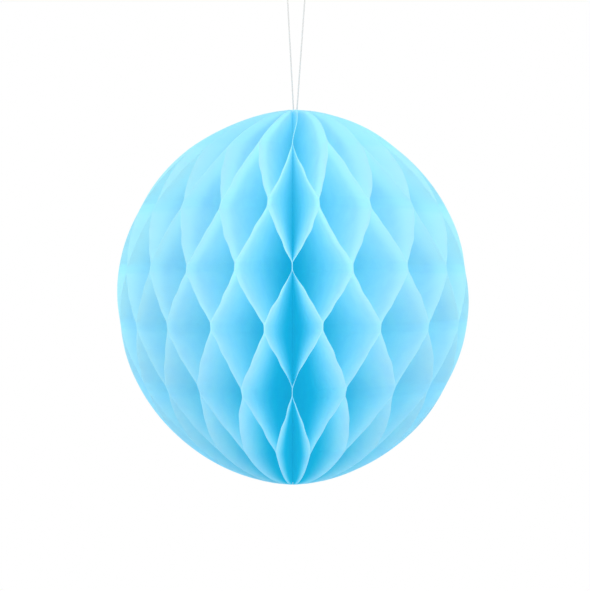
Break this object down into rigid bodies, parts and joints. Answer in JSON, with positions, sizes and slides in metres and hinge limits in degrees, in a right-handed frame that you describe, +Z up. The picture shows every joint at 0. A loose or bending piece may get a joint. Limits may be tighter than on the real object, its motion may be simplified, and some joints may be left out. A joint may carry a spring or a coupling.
{
  "type": "honeycomb paper ball",
  "caption": "Hanging honeycomb paper ball: half-disc tissue leaves glued in staggered lines, fanned round a bound spine, closed by two cover cards, on a thread loop.",
  "frame": {"origin": "centre of the ball, on its bound spine, midway between the two poles", "axes": "+Z up along the spine towards the hanging loop, -Y towards the front, +Y towards the seam where the two cover cards meet back to back"},
  "size_m": [0.1, 0.0997, 0.1452],
  "materials": {
    "tissue": "matt sky-blue tissue, translucent",
    "card": "matt sky-blue card",
    "tape": "double-sided tape, off-white",
    "spine": "bound tissue edges with glue and thread",
    "thread": "twisted white cotton thread"
  },
  "bodies": {
    "root": {"leaf_01": "tissue", "leaf_02": "tissue", "leaf_03": "tissue", "leaf_04": "tissue", "leaf_05": "tissue", "leaf_06": "tissue", "leaf_07": "tissue", "leaf_08": "tissue", "leaf_09": "tissue", "leaf_10": "tissue", "leaf_11": "tissue", "leaf_12": "tissue", "leaf_13": "tissue", "leaf_14": "tissue", "leaf_15": "tissue", "leaf_16": "tissue", "leaf_17": "tissue", "leaf_18": "tissue", "leaf_19": "tissue", "leaf_20": "tissue", "leaf_21": "tissue", "leaf_22": "tissue", "leaf_23": "tissue", "leaf_24": "tissue", "leaf_25": "tissue", "leaf_26": "tissue", "leaf_27": "tissue", "leaf_28": "tissue", "leaf_29": "tissue", "leaf_30": "tissue", "leaf_31": "tissue", "leaf_32": "tissue", "leaf_33": "tissue", "leaf_34": "tissue", "leaf_35": "tissue", "leaf_36": "tissue", "leaf_37": "tissue", "leaf_38": "tissue", "leaf_39": "tissue", "leaf_40": "tissue", "cover_card_left": "card", "cover_card_right": "card", "tape_strip_upper": "tape", "tape_strip_lower": "tape", "bound_spine": "spine", "hanging_thread": "thread"}
  },
  "joints": []
}
